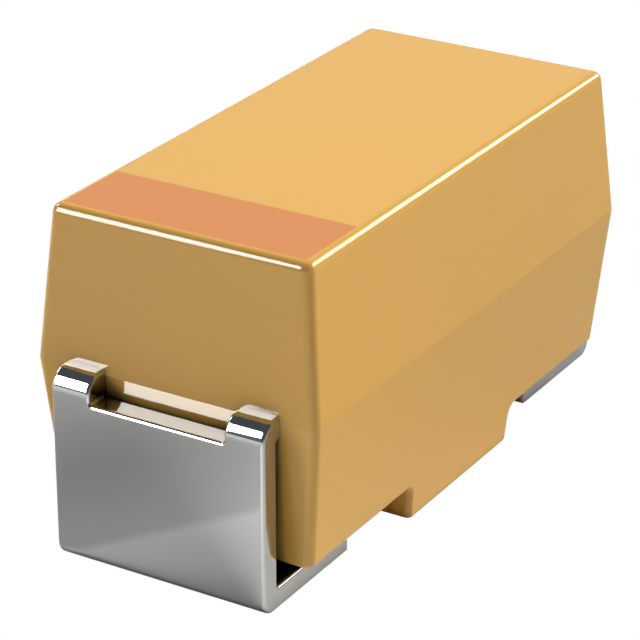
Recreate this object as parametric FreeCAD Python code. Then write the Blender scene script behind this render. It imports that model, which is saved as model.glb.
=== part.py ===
import FreeCAD, Part
import math
import os

# A moulded chip tantalum capacitor in millimetres, at the size that trade catalogues call 3216-18.
# X runs along the part with the anode end at -X, Y runs across it, and Z points up.
# The origin is the centre of the footprint on the seating plane, which both feet rest on.

# Moulded case
case_length = 3.03
case_width = 1.52
parting_height = 0.935
case_top = 1.70
case_underside = 0.181
end_draft = 4.8
side_draft = 5.1
top_rim_radius = 0.046
corner_past_top_rim = 0.004
underside_rim_radius = 0.034

# Glue boss under the case, flush with both long sides
boss_length = 1.00
boss_end_draft = 5.0
boss_root_radius = 0.045
boss_rim_radius = 0.016
boss_clearance = 0.0

# Polarity stripe printed across the anode end of the top
stripe_end_margin = 0.004
stripe_side_margin = 0.002
stripe_width = 0.435
stripe_depth = 0.008

# Lead frame strip, folded down and under at both ends
strip_thickness = 0.113
strip_rise_above_parting = 0.034
lead_width = 1.15
leg_gap = 0.027
shoulder_outer_radius = 0.10
shoulder_inner_radius = 0.015
heel_outer_radius = 0.077
heel_inner_radius = 0.012
foot_length = 0.745
strip_edge_radius = 0.018

# Anode lead: a notch between two tabs, its floor below the strip's level run, then a web and a tongue
notch_width = 0.73
notch_floor_drop = 0.016
notch_depth_in_case = 0.10
notch_corner_radius = 0.015
anode_web_length = 0.13
tongue_width = 0.46
tongue_length = 0.20

# Cathode lead: a cranked step down to the paddle below the pellet
paddle_width = 0.86
paddle_reach_past_centre = 0.30
crank_angle = 55.0
crank_bend_radius = 0.04
crank_clearance = 0.09

# Sintered pellet with its cathode coat
pellet_length = 1.66
pellet_width = 0.94
pellet_height = 0.78
pellet_edge_radius = 0.06
pellet_from_case_end = 0.555
coat_thickness = 0.03
coat_margin = 0.06
adhesive_thickness = 0.03
adhesive_margin = 0.05

# Riser wire, welded to the tongue, with an insulating washer at the pellet
wire_diameter = 0.20
wire_weld_flat = 0.02
wire_weld_overlap = 0.16
wire_depth_in_pellet = 0.75
washer_diameter = 0.56
washer_thickness = 0.10

# Two places closer than this count as the same one
same_place = 1e-4

# Worked out from the sizes above
corner_radius = top_rim_radius + corner_past_top_rim
strip_top = parting_height + strip_rise_above_parting
strip_centre = strip_top - strip_thickness / 2
strip_bottom = strip_top - strip_thickness
case_half_length = case_length / 2
leg_inner = case_half_length + leg_gap
leg_outer = leg_inner + strip_thickness
half_lead = lead_width / 2
half_notch = notch_width / 2
notch_floor_height = strip_bottom - notch_floor_drop
web_start = -case_half_length + notch_depth_in_case
web_end = web_start + anode_web_length
tongue_end = web_end + tongue_length

wire_centre = strip_top + wire_diameter / 2 - wire_weld_flat
pellet_end = case_half_length - pellet_from_case_end
pellet_start = pellet_end - pellet_length
coat_end = pellet_end + coat_thickness
coat_underside = wire_centre - pellet_height / 2 - coat_thickness
paddle_top = coat_underside - adhesive_thickness
paddle_centre = paddle_top - strip_thickness / 2
paddle_end = -paddle_reach_past_centre


def vector(x, y, z):
    return FreeCAD.Vector(x, y, z)


def box(x_range, y_range, z_range):
    low = vector(x_range[0], y_range[0], z_range[0])
    size = [pair[1] - pair[0] for pair in (x_range, y_range, z_range)]
    return Part.makeBox(size[0], size[1], size[2], low)


def rounded_rectangle(length, width, radius, height):
    """A closed wire in the plane z = height, centred on the Z axis, with arcs at its corners."""
    x = length / 2
    y = width / 2
    inner_x = x - radius
    inner_y = y - radius
    chord = radius * math.sqrt(0.5)
    edges = []
    for turn in range(4):
        quarter = FreeCAD.Rotation(vector(0, 0, 1), 90 * turn)
        reach_x, reach_y = (x, y) if turn % 2 == 0 else (y, x)
        flat_x, flat_y = (inner_x, inner_y) if turn % 2 == 0 else (inner_y, inner_x)
        side = [vector(reach_x, -flat_y, height), vector(reach_x, flat_y, height)]
        middle = vector(flat_x + chord, flat_y + chord, height)
        after = vector(flat_x, reach_y, height)
        side = [quarter.multVec(point) for point in side]
        middle = quarter.multVec(middle)
        after = quarter.multVec(after)
        edges.append(Part.makeLine(side[0], side[1]))
        edges.append(Part.Arc(side[1], middle, after).toShape())
    return Part.Wire(edges)


def drafted_half(height):
    """One mould half: the parting section, narrowed by the draft on its way to the given height."""
    rise = abs(height - parting_height)
    length = case_length - 2 * rise * math.tan(math.radians(end_draft))
    width = case_width - 2 * rise * math.tan(math.radians(side_draft))
    parting = rounded_rectangle(case_length, case_width, corner_radius, parting_height)
    far = rounded_rectangle(length, width, corner_radius, height)
    return Part.makeLoft([parting, far], True, True)


def edges_in_plane(shape, height):
    """Edges that lie wholly in the plane z = height."""
    flat = []
    for edge in shape.Edges:
        limits = edge.BoundBox
        if abs(limits.ZMin - height) < same_place and abs(limits.ZMax - height) < same_place:
            flat.append(edge)
    return flat


def mirrored(point):
    """The same place at the other end of the part."""
    return vector(-point.x, point.y, point.z)


def underside_profile():
    """The outline, seen along Y, of all that is kept below the parting plane: case, root arcs and boss."""
    slope = math.radians(boss_end_draft)
    foot_x = boss_length / 2
    foot_z = boss_clearance
    # The root arc is tangent to the sloping boss end and to the flat underside.
    corner_x = foot_x + (case_underside - foot_z) * math.tan(slope)
    setback = boss_root_radius * math.tan((math.pi / 2 - slope) / 2)
    low = vector(corner_x - setback * math.sin(slope), 0, case_underside - setback * math.cos(slope))
    high = vector(corner_x + setback, 0, case_underside)
    centre = vector(high.x, 0, case_underside - boss_root_radius)
    outward = vector(corner_x, 0, case_underside).sub(centre).normalize()
    middle = centre.add(outward.multiply(boss_root_radius))
    far = case_length
    right = [vector(far, 0, parting_height), vector(far, 0, case_underside)]
    left = [mirrored(point) for point in right]
    foot = vector(foot_x, 0, foot_z)
    return Part.Wire([
        Part.makeLine(right[0], right[1]),
        Part.makeLine(right[1], high),
        Part.Arc(high, middle, low).toShape(),
        Part.makeLine(low, foot),
        Part.makeLine(foot, mirrored(foot)),
        Part.makeLine(mirrored(foot), mirrored(low)),
        Part.Arc(mirrored(low), mirrored(middle), mirrored(high)).toShape(),
        Part.makeLine(mirrored(high), left[1]),
        Part.makeLine(left[1], left[0]),
        Part.makeLine(left[0], right[0]),
    ])


def case_outside():
    """The outer form of the moulding: two drafted halves, the boss and every rounded rim."""
    upper = drafted_half(case_top)
    upper = upper.makeFillet(top_rim_radius, edges_in_plane(upper, case_top))
    lower = drafted_half(boss_clearance)
    kept = Part.Face(underside_profile())
    kept.translate(vector(0, -case_width, 0))
    kept = kept.extrude(vector(0, 2 * case_width, 0))
    lower = lower.common(kept).Solids[0]
    rims = []
    for edge in lower.Edges:
        limits = edge.BoundBox
        below = limits.ZMax < case_underside + same_place
        off_rim = limits.ZMax > boss_clearance + same_place
        runs_across = limits.YMax - limits.YMin > case_width / 2
        past_boss = max(abs(limits.XMin), abs(limits.XMax)) > boss_length / 2 + case_underside
        if below and off_rim and (past_boss or not runs_across):
            rims.append(edge)
    lower = lower.makeFillet(underside_rim_radius, rims)
    lower = lower.makeFillet(boss_rim_radius, edges_in_plane(lower, boss_clearance))
    return upper.fuse(lower)


def folded_strip(path, bends, width):
    """A strip of even thickness, folded along a path in the XZ plane and rounded at each bend.

    path holds the centre line's corners as (x, z).
    bends holds (inner radius, outer radius) for each corner between the two ends.
    """
    half = strip_thickness / 2
    points = [vector(x, 0, z) for x, z in path]
    along = [points[i + 1].sub(points[i]).normalize() for i in range(len(points) - 1)]
    normals = [vector(-step.z, 0, step.x) for step in along]
    sides = {1: [], -1: []}
    for sign in (1, -1):
        for i, point in enumerate(points):
            if i == 0 or i == len(points) - 1:
                shift = vector(*normals[min(i, len(normals) - 1)]) * half
            else:
                summed = normals[i - 1].add(normals[i])
                shift = summed * (half / (1 + normals[i - 1].dot(normals[i])))
            sides[sign].append(point.add(shift * sign))
    outline = sides[1] + sides[-1][::-1]
    face = Part.Face(Part.makePolygon(outline + outline[:1]))
    face.translate(vector(0, -width / 2, 0))
    solid = face.extrude(vector(0, width, 0))
    for i, (inner, outer) in enumerate(bends, start=1):
        turn = normals[i - 1].cross(normals[i]).y
        inside = 1 if turn < 0 else -1
        for sign, radius in ((inside, inner), (-inside, outer)):
            if radius > 0:
                spot = sides[sign][i]
                hit = [e for e in solid.Edges if crosses(e, spot)]
                solid = solid.makeFillet(radius, hit)
    return solid


def crosses(edge, spot):
    """True for an edge that runs along Y through the given place in the XZ plane."""
    limits = edge.BoundBox
    flat = max(limits.XMax - limits.XMin, limits.ZMax - limits.ZMin) < same_place
    near = max(abs(limits.XMin - spot.x), abs(limits.ZMin - spot.z)) < same_place
    return flat and near


def lead_path(side, inner_corners):
    """Centre line of a lead on one side of the part, from the toe of the foot up and over into the case."""
    leg = side * (leg_outer - strip_thickness / 2)
    toe = side * (leg_outer - foot_length)
    sole = strip_thickness / 2
    return [(toe, sole), (leg, sole), (leg, strip_centre)] + inner_corners


outer_bends = [
    (heel_inner_radius, heel_outer_radius),
    (shoulder_inner_radius, shoulder_outer_radius),
]


def edges_at_sides(shape, half, inner_limit):
    """Edges in the planes y = half and y = -half that reach further out along X than the given limit."""
    found = []
    for edge in shape.Edges:
        limits = edge.BoundBox
        flat = limits.YMax - limits.YMin < same_place
        outside = max(abs(limits.XMin), abs(limits.XMax)) > inner_limit
        if flat and outside and abs(abs(limits.YMin) - half) < same_place:
            found.append(edge)
    return found


def level(edge, height):
    """True for an edge that lies in the plane z = height."""
    limits = edge.BoundBox
    return max(abs(limits.ZMin - height), abs(limits.ZMax - height)) < same_place


def notch_rim(solid):
    """Edges where the notch breaks out of the strip's outer face, from the web round the floor and back."""
    reach = half_notch + same_place
    rim = []
    for edge in solid.Edges:
        limits = edge.BoundBox
        inside = limits.YMin > -reach and limits.YMax < reach
        above = limits.ZMin > notch_floor_height - same_place
        ahead = limits.XMax < web_start + same_place
        long_enough = limits.XMax - limits.XMin > strip_thickness - same_place
        through = long_enough and level(edge, limits.ZMin) and limits.ZMin < strip_bottom - same_place
        upright_web = limits.XMin > web_start - same_place
        inner_face = limits.XMin > -leg_inner - same_place and limits.ZMax < strip_bottom + same_place
        if inside and above and ahead and not (through or upright_web or inner_face):
            rim.append(edge)
    return rim


def anode_lead():
    """The folded strip at the anode end: foot, leg, two tabs beside a notch, web and tongue."""
    solid = folded_strip(lead_path(-1, [(tongue_end, strip_centre)]), outer_bends, lead_width)
    solid = solid.makeFillet(strip_edge_radius, edges_at_sides(solid, half_lead, 0))
    past_leg = -leg_outer - strip_thickness
    notch = box((past_leg, web_start), (-half_notch, half_notch), (notch_floor_height, case_top))
    side_edges = edges_at_sides(notch, half_notch, 0)
    floor_corners = [edge for edge in side_edges if level(edge, notch_floor_height)]
    notch = notch.makeFillet(notch_corner_radius, floor_corners)
    solid = solid.cut(notch).Solids[0]
    solid = solid.makeFillet(strip_edge_radius, notch_rim(solid))
    for sign in (1, -1):
        spare = sorted([sign * tongue_width / 2, sign * lead_width])
        solid = solid.cut(box((web_end, 0), spare, (strip_bottom - strip_thickness, case_top)))
    return solid.Solids[0]


def cathode_lead():
    """The folded strip at the cathode end: foot, leg, shoulder, crank and the paddle under the pellet."""
    drop = strip_centre - paddle_centre
    run = drop / math.tan(math.radians(crank_angle))
    # The crank's upper face clears the coated end of the pellet by the named clearance.
    lean = strip_thickness / 2 / math.sin(math.radians(crank_angle))
    crank_foot = coat_end + crank_clearance + lean
    crank_head = crank_foot + run
    inner = [(crank_head, strip_centre), (crank_foot, paddle_centre), (paddle_end, paddle_centre)]
    crank = (crank_bend_radius, crank_bend_radius + strip_thickness)
    solid = folded_strip(lead_path(1, inner), outer_bends + [crank, crank], lead_width)
    solid = solid.makeFillet(strip_edge_radius, edges_at_sides(solid, half_lead, crank_head))
    trim_start = case_half_length - notch_depth_in_case
    for sign in (1, -1):
        spare = sorted([sign * paddle_width / 2, sign * lead_width])
        solid = solid.cut(box((paddle_end, trim_start), spare, (strip_thickness, case_top)))
    return solid.Solids[0]


def rounded_block(x_range, grow, radius):
    """The pellet's block over a stretch of X, grown on its four long sides, with those edges rounded."""
    half_width = pellet_width / 2 + grow
    half_height = pellet_height / 2 + grow
    block = box(x_range, (-half_width, half_width), (wire_centre - half_height, wire_centre + half_height))
    long_edges = [edge for edge in block.Edges if edge.BoundBox.XMax - edge.BoundBox.XMin > radius]
    return block.makeFillet(radius, long_edges)


def riser_wire():
    """The anode wire, sunk in the pellet at one end and flattened where it is welded to the tongue."""
    start = tongue_end - wire_weld_overlap
    end = pellet_start + wire_depth_in_pellet
    wire = Part.makeCylinder(wire_diameter / 2, end - start, vector(start, 0, wire_centre), vector(1, 0, 0))
    flat = box((start, tongue_end), (-wire_diameter, wire_diameter), (strip_bottom, strip_top))
    return wire.cut(flat).Solids[0]


def insulating_washer():
    base = vector(pellet_start - washer_thickness, 0, wire_centre)
    disc = Part.makeCylinder(washer_diameter / 2, washer_thickness, base, vector(1, 0, 0))
    bore = Part.makeCylinder(wire_diameter / 2, washer_thickness, base, vector(1, 0, 0))
    return disc.cut(bore).Solids[0]


def tantalum_pellet(wire):
    return rounded_block((pellet_start, pellet_end), 0, pellet_edge_radius).cut(wire).Solids[0]


def cathode_coat():
    """The graphite and silver coat, a thin cup on the pellet that leaves the wire's end bare."""
    core = rounded_block((pellet_start, pellet_end), 0, pellet_edge_radius)
    skin_start = pellet_start + coat_margin
    skin = rounded_block((skin_start, coat_end), coat_thickness, pellet_edge_radius + coat_thickness)
    return skin.cut(core).Solids[0]


def silver_adhesive():
    """The pad of conductive adhesive between the paddle and the coated pellet."""
    x_range = (paddle_end + adhesive_margin, pellet_end - adhesive_margin)
    half = min(paddle_width, pellet_width - 2 * pellet_edge_radius) / 2 - adhesive_margin
    pad = box(x_range, (-half, half), (paddle_top, coat_underside))
    heights = [edge.BoundBox.ZMax - edge.BoundBox.ZMin for edge in pad.Edges]
    upright = [edge for edge, height in zip(pad.Edges, heights) if height > adhesive_thickness / 2]
    return pad.makeFillet(adhesive_margin, upright).Solids[0]


def stripe_block(height):
    """The printed band's block on the flat of the top, from the band's underside up to the given height."""
    rise = case_top - parting_height
    top_half_length = case_half_length - rise * math.tan(math.radians(end_draft))
    top_half_width = case_width / 2 - rise * math.tan(math.radians(side_draft))
    # The top rim's arc takes this much off each side of the flat.
    end_setback = top_rim_radius * math.tan(math.radians(90 - end_draft) / 2)
    side_setback = top_rim_radius * math.tan(math.radians(90 - side_draft) / 2)
    start = -top_half_length + end_setback + stripe_end_margin
    half = top_half_width - side_setback - stripe_side_margin
    return box((start, start + stripe_width), (-half, half), (case_top - stripe_depth, height))


def polarity_stripe():
    """The printed band that marks the anode end, flush with the flat of the top."""
    return stripe_block(case_top)


def moulded_case(held):
    """The one-piece moulding, with a close pocket for everything that it holds."""
    case = case_outside().cut(stripe_block(case_top + stripe_depth))
    for piece in held:
        case = case.cut(piece)
    return case.Solids[0]


def pieces():
    wire = riser_wire()
    held = {
        "anode_lead": anode_lead(),
        "cathode_lead": cathode_lead(),
        "riser_wire": wire,
        "insulating_washer": insulating_washer(),
        "tantalum_pellet": tantalum_pellet(wire),
        "cathode_coat": cathode_coat(),
        "silver_adhesive": silver_adhesive(),
    }
    return {"moulded_case": moulded_case(held.values()), **held, "polarity_stripe": polarity_stripe()}


if __name__ == "__main__":
    os.makedirs("parts", exist_ok=True)
    for name, shape in pieces().items():
        shape.exportStep(f"parts/{name}.step")
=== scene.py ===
import math

import bmesh
import bpy
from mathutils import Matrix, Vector


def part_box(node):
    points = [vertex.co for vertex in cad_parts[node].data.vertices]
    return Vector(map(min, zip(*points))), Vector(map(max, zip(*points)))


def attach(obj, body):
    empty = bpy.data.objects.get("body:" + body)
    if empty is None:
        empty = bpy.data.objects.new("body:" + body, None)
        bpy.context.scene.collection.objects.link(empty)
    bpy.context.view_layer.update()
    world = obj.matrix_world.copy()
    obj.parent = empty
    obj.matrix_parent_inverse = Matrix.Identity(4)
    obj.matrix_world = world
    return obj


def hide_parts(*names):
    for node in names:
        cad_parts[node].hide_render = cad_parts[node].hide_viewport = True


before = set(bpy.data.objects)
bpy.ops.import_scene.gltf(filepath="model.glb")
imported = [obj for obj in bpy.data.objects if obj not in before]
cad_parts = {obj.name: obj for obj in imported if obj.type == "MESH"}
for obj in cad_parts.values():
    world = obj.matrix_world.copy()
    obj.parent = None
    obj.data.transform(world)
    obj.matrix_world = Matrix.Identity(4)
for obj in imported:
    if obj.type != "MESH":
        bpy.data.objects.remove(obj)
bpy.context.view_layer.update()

# Pieces are modelled in millimetres and brought to metres when they are finished
MM = 0.001
CLOSE = 1e-4
MERGE_DISTANCE = 1e-5

# Overall sizes, from the frame
case_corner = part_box("moulded_case")[1] / MM
lead_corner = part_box("cathode_lead")[1] / MM
case_half_length = case_corner.x
case_half_width = case_corner.y
case_top = case_corner.z
leg_outer = lead_corner.x
half_lead = lead_corner.y
strip_top = lead_corner.z

# Moulded case
parting_height = 0.935
case_underside = 0.181
end_draft = math.radians(4.8)
side_draft = math.radians(5.1)
corner_radius = 0.05
top_rim_radius = 0.046
underside_rim_radius = 0.034
boss_half_length = 0.50
boss_end_draft = math.radians(5)
boss_root_radius = 0.045
boss_rim_radius = 0.016

# Folded strip of the two leads
strip_thickness = 0.113
shoulder_outer_radius = 0.10
shoulder_inner_radius = 0.015
heel_outer_radius = 0.077
heel_inner_radius = 0.012
foot_length = 0.745
strip_edge_radius = 0.018
notch_width = 0.73
notch_floor_height = 0.84
notch_depth_in_case = 0.10
notch_corner_radius = 0.015
anode_web_length = 0.13
tongue_width = 0.46
tongue_length = 0.20
paddle_width = 0.86
crank_angle = math.radians(55)
crank_bend_radius = 0.04
crank_clearance = 0.09

# Worked out from the sizes above
strip_centre = strip_top - strip_thickness / 2
flat_half_lead = half_lead - strip_edge_radius
half_notch = notch_width / 2
web_start = -case_half_length + notch_depth_in_case
web_end = web_start + anode_web_length
tongue_end = web_end + tongue_length
coat_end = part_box("cathode_coat")[1].x / MM
paddle_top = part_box("silver_adhesive")[0].z / MM
paddle_centre = paddle_top - strip_thickness / 2
paddle_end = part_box("cathode_lead")[0].x / MM

# Arc segments of each kind of rounded edge
RIM_SEGMENTS = 12
BEND_SEGMENTS = 32
HEEL_SEGMENTS = 16
EDGE_SEGMENTS = 6

# An edge that turns by less than this is shaded smooth
SHARP_ANGLE = math.radians(30)

# Grain and mottle of every finish, in features per millimetre
GRAIN_PER_MM = 90
GRAIN_DETAIL = 3
MOTTLE_PER_MM = 1.2
MOTTLE_DETAIL = 4

# Painted crevice shade darkens a colour where other surfaces lie within this reach in millimetres. It is
# full where they leave less open than the first share, and gone where they leave more open than the
# second.
PAINTED_SHADE_REACH = 0.2
PAINTED_SHADE_OPENNESS = (0.2, 0.55)

# Each finish goes between two near colours and two near roughnesses. Its grain is a height in millimetres,
# and a painted shade colour, where given, darkens it in crevices.
FINISHES = {
    "epoxy_amber": {
        "light": (0.80, 0.445, 0.094),
        "dark": (0.78, 0.434, 0.09),
        "roughness": (0.02, 0.04),
        "grain": 0.0001,
        # Painted shade in the case's crevices
        "painted_shade_colour": (0.05, 0.042, 0.03),
    },
    "tinned_strip": {
        "light": (0.60, 0.612, 0.598),
        "dark": (0.585, 0.597, 0.583),
        "roughness": (0.02, 0.04),
        "grain": 0.0001,
        "metallic": 1,
        # Painted shade in the leads' crevices
        "painted_shade_colour": (0.06, 0.055, 0.05),
    },
    "stripe_ink": {
        "light": (0.71, 0.258, 0.068),
        "dark": (0.69, 0.25, 0.064),
        "roughness": (0.05, 0.1),
        "grain": 0.0001,
    },
    "sintered_tantalum": {
        "light": (0.12, 0.12, 0.13),
        "dark": (0.06, 0.06, 0.065),
        "roughness": (0.8, 0.9),
        "grain": 0.01,
    },
    "tantalum_wire": {
        "light": (0.42, 0.43, 0.47),
        "dark": (0.36, 0.37, 0.41),
        "roughness": (0.25, 0.35),
        "grain": 0.0001,
        "metallic": 1,
    },
    "silver_coat": {
        "light": (0.62, 0.61, 0.58),
        "dark": (0.5, 0.49, 0.46),
        "roughness": (0.4, 0.6),
        "grain": 0.004,
        "metallic": 0.7,
    },
    "silver_paste": {
        "light": (0.55, 0.54, 0.5),
        "dark": (0.42, 0.41, 0.38),
        "roughness": (0.5, 0.7),
        "grain": 0.004,
        "metallic": 0.6,
    },
    "washer_plastic": {
        "light": (0.85, 0.83, 0.78),
        "dark": (0.8, 0.78, 0.72),
        "roughness": (0.3, 0.4),
        "grain": 0.0001,
    },
}

# Nodes that the moulding holds. They keep their solids from the frame, and each gets its finish.
HELD_NODES = {
    "riser_wire": "tantalum_wire",
    "insulating_washer": "washer_plastic",
    "tantalum_pellet": "sintered_tantalum",
    "cathode_coat": "silver_coat",
    "silver_adhesive": "silver_paste",
    "polarity_stripe": "stripe_ink",
}

# Paper floor, whose half size is in metres. Its tone is painted light and shade, which goes by the
# millimetres
# from a line on it: a painted pool of light beside the line, where the leg throws reflected light, and
# painted shade elsewhere.
FLOOR_HALF_SIZE = 2.0
FLOOR_LINE_START = (-1.69, 0.60)
FLOOR_LINE_TURN = math.radians(-56)
FLOOR_PAINTED_TONES = [
    (-4.5, 0.85),
    (-1.5, 0.66),
    (-0.7, 0.77),
    (0, 0.98),
    (0.07, 1.3),
    (0.8, 0.93),
    (1.4, 0.75),
    (2.4, 0.57),
    (4, 0.44),
]

# Soft boxes at one distance in metres. Each has its azimuth, elevation, width and height in degrees, and
# then its shine and glow.
LIGHT_DISTANCE = 0.25
SOFT_BOXES = {
    "softbox_left": (136, 26, 27, 36, 18, 5.9),
    "softbox_right": (-34, 28, 38, 18, 10, 0),
    "softbox_high": (-30, 35, 38, 24, 0, 14.5),
    "softbox_back": (80, 35, 20, 24, 7, 9),
    "backdrop": (45, 12, 60, 36, 0.4, 0),
}

# Surround, as linear colours. In the gloss the horizon fades into the dark between two sines of the height
# above level.
AMBIENT = (0.075, 0.075, 0.075)
HORIZON = (0.2, 0.21, 0.23)
DARK_SURROUND = (0.085, 0.093, 0.108)
HORIZON_FADE = (0.05, 0.3)

# Camera, as fitted to the photograph, with its distances in millimetres
CAMERA_AZIMUTH = math.radians(-59.0167)
CAMERA_ELEVATION = math.radians(24.7409)
CAMERA_DISTANCE = 14.029
CAMERA_TARGET = (-0.1903, 0.0137, 0.7772)
CAMERA_LENS = 160.74
CAMERA_SENSOR = 36
CAMERA_CLIP_START = 0.5


# Solids in millimetres

def prism(outline, half_width):
    """A block running across the part, with the given outline of (x, z) points."""
    bm = bmesh.new()
    section = bm.faces.new([bm.verts.new((x, -half_width, z)) for x, z in outline])
    swept = bmesh.ops.extrude_face_region(bm, geom=[section])["geom"]
    moved = [item for item in swept if isinstance(item, bmesh.types.BMVert)]
    bmesh.ops.translate(bm, verts=moved, vec=(0, 2 * half_width, 0))
    bmesh.ops.recalc_face_normals(bm, faces=bm.faces[:])
    return bm


def block(low, high):
    """A plain block between two corners, used to cut with."""
    bm = bmesh.new()
    bmesh.ops.create_cube(bm, size=1)
    bmesh.ops.scale(bm, verts=bm.verts[:], vec=Vector(high) - Vector(low))
    bmesh.ops.translate(bm, verts=bm.verts[:], vec=(Vector(high) + Vector(low)) / 2)
    return bm


def round_edges(bm, edges, radius, segments, turn=math.pi / 2):
    """Rounds edges, at which the surface turns by the given angle, with an arc of the given radius."""
    bmesh.ops.bevel(
        bm,
        geom=edges,
        offset=radius * math.tan(turn / 2),
        offset_type="OFFSET",
        affect="EDGES",
        segments=segments,
        profile=0.5,
        material=-1,
        clamp_overlap=False,
    )


def edges_where(bm, test):
    """Edges with both ends at places that pass the test."""
    return [edge for edge in bm.edges if all(test(vert.co) for vert in edge.verts)]


def runs_across(edge):
    """True for an edge that runs most of the way across the part."""
    return abs(edge.verts[0].co.y - edge.verts[1].co.y) > case_half_width


def object_from(bm, name):
    """A new object with the mesh of the given solid, which is used up."""
    mesh = bpy.data.meshes.new(name)
    bm.to_mesh(mesh)
    bm.free()
    piece = bpy.data.objects.new(name, mesh)
    bpy.context.scene.collection.objects.link(piece)
    return piece


def less(bm, cutter):
    """What is left of the first solid when the second is taken from it."""
    body = object_from(bm, "body_to_cut")
    tool = object_from(cutter, "cutter")
    difference = body.modifiers.new("difference", "BOOLEAN")
    difference.operation = "DIFFERENCE"
    difference.solver = "EXACT"
    difference.object = tool
    seen = body.evaluated_get(bpy.context.evaluated_depsgraph_get())
    left = bmesh.new()
    left.from_mesh(seen.to_mesh())
    seen.to_mesh_clear()
    for spent in (body, tool):
        mesh = spent.data
        bpy.data.objects.remove(spent)
        bpy.data.meshes.remove(mesh)
    bmesh.ops.remove_doubles(left, verts=left.verts[:], dist=MERGE_DISTANCE)
    return left


def node_solid(name):
    """A merged copy of a node of the frame, in millimetres."""
    bm = bmesh.new()
    bm.from_mesh(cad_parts[name].data)
    bmesh.ops.scale(bm, verts=bm.verts[:], vec=Vector((1, 1, 1)) / MM)
    bmesh.ops.remove_doubles(bm, verts=bm.verts[:], dist=MERGE_DISTANCE)
    return bm


# Moulded case

def case_outline():
    """The case from its long side: two drafted halves meeting on the parting line, and the boss below."""
    lean = math.tan(end_draft)
    right = [
        (case_half_length - (case_top - parting_height) * lean, case_top),
        (case_half_length, parting_height),
        (case_half_length - (parting_height - case_underside) * lean, case_underside),
        (boss_half_length + case_underside * math.tan(boss_end_draft), case_underside),
        (boss_half_length, 0),
    ]
    return right + [(-x, z) for x, z in reversed(right)]


def case_block():
    """The case with its drafts and rounded edges, and nothing cut out of it."""
    bm = prism(case_outline(), case_half_width)
    whole = bm.verts[:] + bm.edges[:] + bm.faces[:]
    parting = (0, 0, parting_height)
    bmesh.ops.bisect_plane(bm, geom=whole, dist=CLOSE, plane_co=parting, plane_no=(0, 0, 1))
    for vert in bm.verts:
        inset = abs(vert.co.z - parting_height) * math.tan(side_draft)
        vert.co.y -= math.copysign(inset, vert.co.y)

    square = math.pi / 2
    near_boss = boss_half_length + case_underside
    roots = [
        edge for edge in edges_where(bm, lambda co: abs(co.z - case_underside) < CLOSE)
        if runs_across(edge) and abs(edge.verts[0].co.x) < near_boss
    ]
    round_edges(bm, roots, boss_root_radius, RIM_SEGMENTS, square - boss_end_draft)
    corners = [
        edge for edge in edges_where(bm, lambda co: abs(co.x) > near_boss)
        if abs(edge.verts[0].co.z - edge.verts[1].co.z) > case_underside
    ]
    round_edges(bm, corners, corner_radius, RIM_SEGMENTS)
    top_rim = edges_where(bm, lambda co: co.z > case_top - CLOSE)
    round_edges(bm, top_rim, top_rim_radius, RIM_SEGMENTS, square - end_draft)
    underside_rim = [
        edge for edge in edges_where(bm, lambda co: co.z < case_underside + CLOSE)
        if max(vert.co.z for vert in edge.verts) > CLOSE
        and (not runs_across(edge) or abs(edge.verts[0].co.x) > near_boss)
    ]
    round_edges(bm, underside_rim, underside_rim_radius, RIM_SEGMENTS, square - end_draft)
    boss_rim = edges_where(bm, lambda co: co.z < CLOSE)
    round_edges(bm, boss_rim, boss_rim_radius, RIM_SEGMENTS // 2, square - boss_end_draft)
    return bm


# Leads

def strip_faces(path):
    """The two faces of a strip of even thickness, as lists of (x, z) points beside its centre line."""
    points = [Vector(point) for point in path]
    steps = [(after - before).normalized() for before, after in zip(points, points[1:])]
    normals = [Vector((-step.y, step.x)) for step in steps]
    left = []
    right = []
    for i, point in enumerate(points):
        before = normals[max(i - 1, 0)]
        after = normals[min(i, len(normals) - 1)]
        shift = (before + after) * (strip_thickness / 2 / (1 + before.dot(after)))
        left.append(point + shift)
        right.append(point - shift)
    return left, right


def edges_at(bm, x, z):
    """Edges that run across the part through one place in its long section."""
    return edges_where(bm, lambda co: math.hypot(co.x - x, co.z - z) < CLOSE)


def folded_strip(path, bends):
    """The strip folded along its centre line. A bend is (inner radius, outer radius, angle, segments)."""
    left, right = strip_faces(path)
    bm = prism(left + right[::-1], flat_half_lead)
    for i, (inner, outer, turn, segments) in enumerate(bends, start=1):
        turns_left = (left[i] - left[i - 1]).cross(left[i + 1] - left[i]) > 0
        inside, outside = (left, right) if turns_left else (right, left)
        round_edges(bm, edges_at(bm, *inside[i]), inner, segments, turn)
        round_edges(bm, edges_at(bm, *outside[i]), outer, segments, turn)
    round_sides(bm)
    return bm


def round_sides(bm):
    """Rounds all edges of the strip's two side faces, in even steps of a quarter circle."""
    angles = [math.pi / 2 * step / EDGE_SEGMENTS for step in range(EDGE_SEGMENTS + 1)]
    sides = [
        face for face in bm.faces
        if all(abs(vert.co.y) > flat_half_lead - CLOSE for vert in face.verts)
        and not any(runs_across(edge) for edge in face.edges)
    ]
    for before, after in zip(angles, angles[1:]):
        for side in sides:
            bmesh.ops.inset_region(
                bm,
                faces=[side],
                thickness=strip_edge_radius * (math.cos(before) - math.cos(after)),
                depth=strip_edge_radius * (math.sin(after) - math.sin(before)),
                use_boundary=True,
                use_even_offset=True,
            )


def lead_path(side, inner_corners):
    """Centre line of a lead from the toe of its foot, up the leg and over into the case."""
    toe = side * (leg_outer - foot_length)
    leg = side * (leg_outer - strip_thickness / 2)
    sole = strip_thickness / 2
    return [(toe, sole), (leg, sole), (leg, strip_centre), *inner_corners]


OUTER_BENDS = [
    (heel_inner_radius, heel_outer_radius, math.pi / 2, HEEL_SEGMENTS),
    (shoulder_inner_radius, shoulder_outer_radius, math.pi / 2, BEND_SEGMENTS),
]


def trimmed(bm, x_range, half_width):
    """The lead narrowed to the given half width over a stretch inside the case."""
    for side in (1, -1):
        near, far = sorted([side * half_width, side * 2 * half_lead])
        bm = less(bm, block((x_range[0], near, strip_thickness), (x_range[1], far, case_top)))
    return bm


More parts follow.
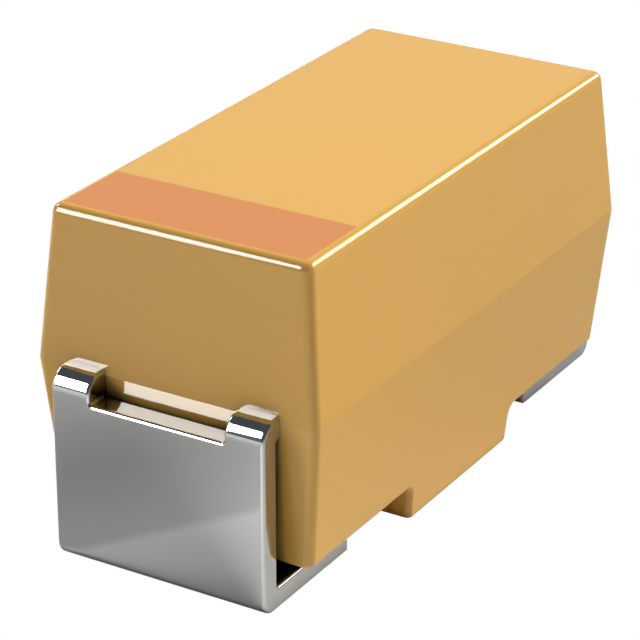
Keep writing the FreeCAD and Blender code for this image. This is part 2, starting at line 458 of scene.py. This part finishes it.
def notch_cutter():
    """The block that punches the notch, with rounded lower corners."""
    bm = block((-2 * leg_outer, -half_notch, notch_floor_height), (web_start, half_notch, case_top))
    corners = [
        edge for edge in edges_where(bm, lambda co: co.z < notch_floor_height + CLOSE)
        if abs(edge.verts[0].co.y - edge.verts[1].co.y) < CLOSE
    ]
    round_edges(bm, corners, notch_corner_radius, EDGE_SEGMENTS)
    return bm


def on_outer_face(co):
    """True on the face of the anode strip that looks away from the case, from the leg to the top."""
    beside = max(shoulder_outer_radius - leg_outer - co.x, 0)
    over = max(co.z - strip_top + shoulder_outer_radius, 0)
    return math.hypot(beside, over) > shoulder_outer_radius - strip_thickness / 10


def on_notch_rim(co):
    """True where the notch breaks out of the anode strip's outer face."""
    beside_notch = abs(co.y) < half_notch + CLOSE and co.z > notch_floor_height - CLOSE
    return beside_notch and on_outer_face(co)


def anode_strip():
    """Foot, leg, two tabs beside the notch, web and tongue."""
    bm = folded_strip(lead_path(-1, [(tongue_end, strip_centre)]), OUTER_BENDS)
    bm = less(bm, notch_cutter())
    bm = trimmed(bm, (web_end, 0), tongue_width / 2)
    rim = [
        edge for edge in edges_where(bm, on_notch_rim)
        if min(vert.co.x for vert in edge.verts) < web_start - CLOSE
    ]
    round_edges(bm, rim, strip_edge_radius, EDGE_SEGMENTS)
    # The rounding bulges a little where the rim turns, and is brought back into the leg's plane.
    for vert in bm.verts:
        vert.co.x = max(vert.co.x, -leg_outer)
    return bm


def cathode_strip():
    """Foot, leg, shoulder, crank and the paddle below the pellet."""
    lean = strip_thickness / 2 / math.sin(crank_angle)
    crank_foot = coat_end + crank_clearance + lean
    crank_head = crank_foot + (strip_centre - paddle_centre) / math.tan(crank_angle)
    inner = [(crank_head, strip_centre), (crank_foot, paddle_centre), (paddle_end, paddle_centre)]
    crank = (crank_bend_radius, crank_bend_radius + strip_thickness, crank_angle, HEEL_SEGMENTS)
    bm = folded_strip(lead_path(1, inner), OUTER_BENDS + [crank, crank])
    return trimmed(bm, (paddle_end - CLOSE, case_half_length - notch_depth_in_case), paddle_width / 2)


# Finished pieces

def smooth_fan(face, vert):
    """The faces round a vertex that run smoothly into the given face."""
    fan = [face]
    for reached in fan:
        for edge in reached.edges:
            if edge.smooth and vert in edge.verts:
                fan += [other for other in edge.link_faces if other not in fan]
    return fan


def corner_normals(bm):
    """A normal for each corner of each face, in which broad faces round it outweigh narrow ones."""
    pull = {face: face.normal * face.calc_area() for face in bm.faces}
    normals = []
    for face in bm.faces:
        for loop in face.loops:
            fan = smooth_fan(face, loop.vert)
            normals.append(sum((pull[member] for member in fan), Vector()).normalized())
    return normals


def finished(bm, name, node, slot):
    """A piece in metres, shaded smooth between its sharp edges, that stands for a node of the frame."""
    bm.normal_update()
    for face in bm.faces:
        face.smooth = True
    for edge in bm.edges:
        edge.smooth = edge.is_manifold and edge.calc_face_angle() < SHARP_ANGLE
    for edge in edges_where(bm, lambda co: abs(co.z - parting_height) < CLOSE):
        edge.smooth = False
    normals = corner_normals(bm)
    bmesh.ops.scale(bm, verts=bm.verts[:], vec=(MM, MM, MM))
    piece = object_from(bm, name)
    piece.data.normals_split_custom_set(normals)
    piece.data.materials.append(finishes[slot])
    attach(piece, "root")
    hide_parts(node)


def moulded_case():
    """The one-piece moulding, with a close pocket for everything that it holds."""
    bm = case_block()
    for lead in (anode_strip(), cathode_strip()):
        bm = less(bm, lead)
    for node in HELD_NODES:
        bm = less(bm, node_solid(node))
    return bm


# Finishes

def new_group(name, inputs, outputs):
    """An empty node group, with a first value for each input and the kind of socket of each output."""
    group = bpy.data.node_groups.new(name, "ShaderNodeTree")
    for socket, value in inputs.items():
        kind = "NodeSocketColor" if isinstance(value, tuple) else "NodeSocketFloat"
        group.interface.new_socket(socket, in_out="INPUT", socket_type=kind).default_value = value
    for socket, kind in outputs.items():
        group.interface.new_socket(socket, in_out="OUTPUT", socket_type=kind)
    nodes = group.nodes
    return group, nodes, group.links, nodes.new("NodeGroupInput"), nodes.new("NodeGroupOutput")


def pattern(nodes, links, place, per_mm, detail):
    """Noise over a surface, by a place that is given in millimetres."""
    noise = nodes.new("ShaderNodeTexNoise")
    noise.inputs["Scale"].default_value = per_mm
    noise.inputs["Detail"].default_value = detail
    links.new(place.outputs["Vector"], noise.inputs["Vector"])
    return noise.outputs["Fac"]


def mottle_group():
    """A slow mottle between two colours and two roughnesses, and fine grain for the height."""
    group, nodes, links, given, result = new_group(
        "Mottle and grain",
        {
            "Light colour": (1, 1, 1, 1),
            "Dark colour": (0, 0, 0, 1),
            "Least roughness": 0,
            "Most roughness": 1,
        },
        {"Colour": "NodeSocketColor", "Roughness": "NodeSocketFloat", "Grain": "NodeSocketFloat"},
    )
    place = nodes.new("ShaderNodeTexCoord")
    in_millimetres = nodes.new("ShaderNodeMapping")
    in_millimetres.inputs["Scale"].default_value = Vector((1, 1, 1)) / MM
    links.new(place.outputs["Object"], in_millimetres.inputs["Vector"])
    mottle = pattern(nodes, links, in_millimetres, MOTTLE_PER_MM, MOTTLE_DETAIL)
    grain = pattern(nodes, links, in_millimetres, GRAIN_PER_MM, GRAIN_DETAIL)
    colour = nodes.new("ShaderNodeMix")
    colour.data_type = "RGBA"
    links.new(mottle, colour.inputs["Factor"])
    links.new(given.outputs["Dark colour"], colour.inputs["A"])
    links.new(given.outputs["Light colour"], colour.inputs["B"])
    gloss = nodes.new("ShaderNodeMapRange")
    links.new(mottle, gloss.inputs["Value"])
    links.new(given.outputs["Least roughness"], gloss.inputs["To Min"])
    links.new(given.outputs["Most roughness"], gloss.inputs["To Max"])
    links.new(colour.outputs["Result"], result.inputs["Colour"])
    links.new(gloss.outputs["Result"], result.inputs["Roughness"])
    links.new(grain, result.inputs["Grain"])
    return group


def painted_shade_group():
    """A colour that goes over to a painted shade colour where other surfaces close it in, as shade falls
    in a crevice.
    """
    group, nodes, links, given, result = new_group(
        "Painted crevice shade",
        {"Colour": (1, 1, 1, 1), "Painted shade colour": (0, 0, 0, 1)},
        {"Colour": "NodeSocketColor"},
    )
    nearby = nodes.new("ShaderNodeAmbientOcclusion")
    nearby.inputs["Distance"].default_value = PAINTED_SHADE_REACH * MM
    openness = nodes.new("ShaderNodeMapRange")
    openness.inputs["From Min"].default_value = PAINTED_SHADE_OPENNESS[0]
    openness.inputs["From Max"].default_value = PAINTED_SHADE_OPENNESS[1]
    painted_tone = nodes.new("ShaderNodeMix")
    painted_tone.data_type = "RGBA"
    links.new(nearby.outputs["AO"], openness.inputs["Value"])
    links.new(openness.outputs["Result"], painted_tone.inputs["Factor"])
    links.new(given.outputs["Painted shade colour"], painted_tone.inputs["A"])
    links.new(given.outputs["Colour"], painted_tone.inputs["B"])
    links.new(painted_tone.outputs["Result"], result.inputs["Colour"])
    return group


def placed(nodes, group, values):
    """A node group put in a material, with the material's own values."""
    node = nodes.new("ShaderNodeGroup")
    node.node_tree = group
    for socket, value in values.items():
        node.inputs[socket].default_value = value
    return node


def finish_of(name, light, dark, roughness, grain, metallic=0, painted_shade_colour=None):
    """A finish with mottle in its colour and gloss, grain in its height and, if given, painted shade in
    its crevices.
    """
    material = bpy.data.materials.new(name)
    material.use_nodes = True
    nodes = material.node_tree.nodes
    links = material.node_tree.links
    shader = nodes["Principled BSDF"]
    shader.inputs["Metallic"].default_value = metallic
    mottle = placed(nodes, mottle_and_grain, {
        "Light colour": (*light, 1),
        "Dark colour": (*dark, 1),
        "Least roughness": roughness[0],
        "Most roughness": roughness[1],
    })
    colour = mottle.outputs["Colour"]
    # Painted shade: the colour darkens where other surfaces close it in
    if painted_shade_colour:
        painted_tone = placed(nodes, painted_shade, {"Painted shade colour": (*painted_shade_colour, 1)})
        links.new(colour, painted_tone.inputs["Colour"])
        colour = painted_tone.outputs["Colour"]
    links.new(colour, shader.inputs["Base Color"])
    links.new(mottle.outputs["Roughness"], shader.inputs["Roughness"])
    height = nodes.new("ShaderNodeBump")
    height.inputs["Distance"].default_value = grain * MM
    links.new(mottle.outputs["Grain"], height.inputs["Height"])
    links.new(height.outputs["Normal"], shader.inputs["Normal"])
    return material


# Studio

def picked(nodes, links, usual, chooser, other):
    """The other shader where the chooser is on, and the usual one elsewhere."""
    pick = nodes.new("ShaderNodeMixShader")
    links.new(chooser, pick.inputs["Fac"])
    links.new(usual.outputs[0], pick.inputs[1])
    links.new(other.outputs[0], pick.inputs[2])
    return pick


def floor_material():
    """White to the eye and lit paper to everything else, and clear from below.

    The paper's tone is painted light and shade, by the distance from a line on it: a painted pool of light
    along the line, where the leg throws reflected light, and painted shade elsewhere.
    """
    material = bpy.data.materials.new("studio_floor")
    material.use_nodes = True
    nodes = material.node_tree.nodes
    links = material.node_tree.links
    nodes.clear()

    place = nodes.new("ShaderNodeTexCoord")
    across = nodes.new("ShaderNodeMapping")
    across.vector_type = "TEXTURE"
    across.inputs["Location"].default_value = Vector((*FLOOR_LINE_START, 0)) * MM
    across.inputs["Rotation"].default_value = (0, 0, FLOOR_LINE_TURN)
    across.inputs["Scale"].default_value = (MM, 1, 1)
    links.new(place.outputs["Object"], across.inputs["Vector"])
    split = nodes.new("ShaderNodeSeparateXYZ")
    links.new(across.outputs["Vector"], split.inputs["Vector"])

    nearest = FLOOR_PAINTED_TONES[0][0]
    furthest = FLOOR_PAINTED_TONES[-1][0]
    along = nodes.new("ShaderNodeMapRange")
    along.inputs["From Min"].default_value = nearest
    along.inputs["From Max"].default_value = furthest
    links.new(split.outputs["X"], along.inputs["Value"])
    # Painted light and shade of the paper, by the distance from the line
    painted_tone = nodes.new("ShaderNodeValToRGB")
    stops = painted_tone.color_ramp.elements
    for i, (distance, grey) in enumerate(FLOOR_PAINTED_TONES):
        stop = stops[i] if i < len(stops) else stops.new(1)
        stop.position = (distance - nearest) / (furthest - nearest)
        stop.color = (grey, grey, grey, 1)
    links.new(along.outputs["Result"], painted_tone.inputs["Fac"])

    paper = nodes.new("ShaderNodeBsdfDiffuse")
    links.new(painted_tone.outputs["Color"], paper.inputs["Color"])
    ray = nodes.new("ShaderNodeLightPath")
    white = nodes.new("ShaderNodeEmission")
    shader = picked(nodes, links, paper, ray.outputs["Is Camera Ray"], white)
    side = nodes.new("ShaderNodeNewGeometry")
    clear = nodes.new("ShaderNodeBsdfTransparent")
    shader = picked(nodes, links, shader, side.outputs["Backfacing"], clear)
    result = nodes.new("ShaderNodeOutputMaterial")
    links.new(shader.outputs[0], result.inputs["Surface"])
    return material


def studio_floor():
    """The level sheet that the part stands on."""
    bm = bmesh.new()
    bmesh.ops.create_grid(bm, x_segments=1, y_segments=1, size=FLOOR_HALF_SIZE)
    floor = object_from(bm, "floor")
    floor.data.materials.append(floor_material())


def show_in_gloss_only(light):
    """Puts a lamp out for light that a matt surface has scattered, so that it throws no flecks."""
    light.use_nodes = True
    nodes = light.node_tree.nodes
    links = light.node_tree.links
    ray = nodes.new("ShaderNodeLightPath")
    strength = nodes.new("ShaderNodeMath")
    strength.operation = "SUBTRACT"
    strength.use_clamp = True
    strength.inputs[0].default_value = 1
    links.new(ray.outputs["Diffuse Depth"], strength.inputs[1])
    links.new(strength.outputs["Value"], nodes["Emission"].inputs["Strength"])


def facing_side(width_in_degrees):
    """The side of a soft box that looks this wide from the part."""
    return 2 * LIGHT_DISTANCE * math.tan(math.radians(width_in_degrees / 2))


def soft_box(name, azimuth, elevation, width, height, shine, glow):
    """A soft box that faces the part, with one lamp for its shine and one for its glow.

    Shine is how bright it looks in the gloss, and glow is how strongly it lights. Azimuth turns from +X
    towards +Y.
    """
    turn = math.radians(azimuth)
    lift = math.radians(elevation)
    towards = Vector((math.cos(turn) * math.cos(lift), math.sin(turn) * math.cos(lift), math.sin(lift)))
    for use, radiance in (("shine", shine), ("glow", glow)):
        if not radiance:
            continue
        light = bpy.data.lights.new(f"{name}_{use}", "AREA")
        light.shape = "RECTANGLE"
        light.size = facing_side(width)
        light.size_y = facing_side(height)
        light.energy = radiance * math.pi * light.size * light.size_y
        if use == "shine":
            show_in_gloss_only(light)
        lamp = bpy.data.objects.new(light.name, light)
        lamp.location = towards * LIGHT_DISTANCE
        lamp.rotation_euler = towards.to_track_quat("Z", "Y").to_euler()
        lamp.visible_camera = False
        lamp.visible_glossy = use == "shine"
        lamp.visible_diffuse = use == "glow"
        bpy.context.scene.collection.objects.link(lamp)


def studio_world():
    """Soft light on the part, a dark surround with a paler horizon in its gloss, and white to the eye."""
    world = bpy.data.worlds.new("studio")
    bpy.context.scene.world = world
    world.use_nodes = True
    nodes = world.node_tree.nodes
    links = world.node_tree.links
    nodes.clear()

    direction = nodes.new("ShaderNodeTexCoord")
    split = nodes.new("ShaderNodeSeparateXYZ")
    links.new(direction.outputs["Generated"], split.inputs["Vector"])
    rise = nodes.new("ShaderNodeMapRange")
    rise.interpolation_type = "SMOOTHSTEP"
    rise.inputs["From Min"].default_value = HORIZON_FADE[0]
    rise.inputs["From Max"].default_value = HORIZON_FADE[1]
    links.new(split.outputs["Z"], rise.inputs["Value"])
    surround = nodes.new("ShaderNodeMix")
    surround.data_type = "RGBA"
    surround.inputs["A"].default_value = (*HORIZON, 1)
    surround.inputs["B"].default_value = (*DARK_SURROUND, 1)
    links.new(rise.outputs["Result"], surround.inputs["Factor"])

    soft_light = nodes.new("ShaderNodeBackground")
    soft_light.inputs["Color"].default_value = (*AMBIENT, 1)
    reflected = nodes.new("ShaderNodeBackground")
    links.new(surround.outputs["Result"], reflected.inputs["Color"])
    white = nodes.new("ShaderNodeBackground")
    white.inputs["Color"].default_value = (1, 1, 1, 1)
    ray = nodes.new("ShaderNodeLightPath")
    shader = picked(nodes, links, soft_light, ray.outputs["Is Glossy Ray"], reflected)
    shader = picked(nodes, links, shader, ray.outputs["Is Camera Ray"], white)
    result = nodes.new("ShaderNodeOutputWorld")
    links.new(shader.outputs[0], result.inputs["Surface"])


def studio_camera():
    """The camera at the photograph's angle, aimed at a point inside the case."""
    level = math.cos(CAMERA_ELEVATION)
    back = Vector((
        math.sin(CAMERA_AZIMUTH) * level,
        -math.cos(CAMERA_AZIMUTH) * level,
        math.sin(CAMERA_ELEVATION),
    ))
    lens = bpy.data.cameras.new("camera")
    lens.sensor_width = CAMERA_SENSOR
    lens.lens = CAMERA_LENS
    lens.clip_start = CAMERA_CLIP_START * MM
    camera = bpy.data.objects.new("camera", lens)
    camera.location = (Vector(CAMERA_TARGET) + back * CAMERA_DISTANCE) * MM
    camera.rotation_euler = back.to_track_quat("Z", "Y").to_euler()
    bpy.context.scene.collection.objects.link(camera)
    bpy.context.scene.camera = camera


# The part

mottle_and_grain = mottle_group()
# Painted shade for crevices
painted_shade = painted_shade_group()
finishes = {name: finish_of(name, **setting) for name, setting in FINISHES.items()}

finished(moulded_case(), "amber_case", "moulded_case", "epoxy_amber")
finished(anode_strip(), "anode_strip", "anode_lead", "tinned_strip")
finished(cathode_strip(), "cathode_strip", "cathode_lead", "tinned_strip")

for node, finish in HELD_NODES.items():
    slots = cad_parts[node].data.materials
    slots.clear()
    slots.append(finishes[finish])


# Its surroundings

studio_floor()
for name, setting in SOFT_BOXES.items():
    soft_box(name, *setting)
studio_world()
studio_camera()
bpy.context.scene.view_settings.view_transform = "Standard"
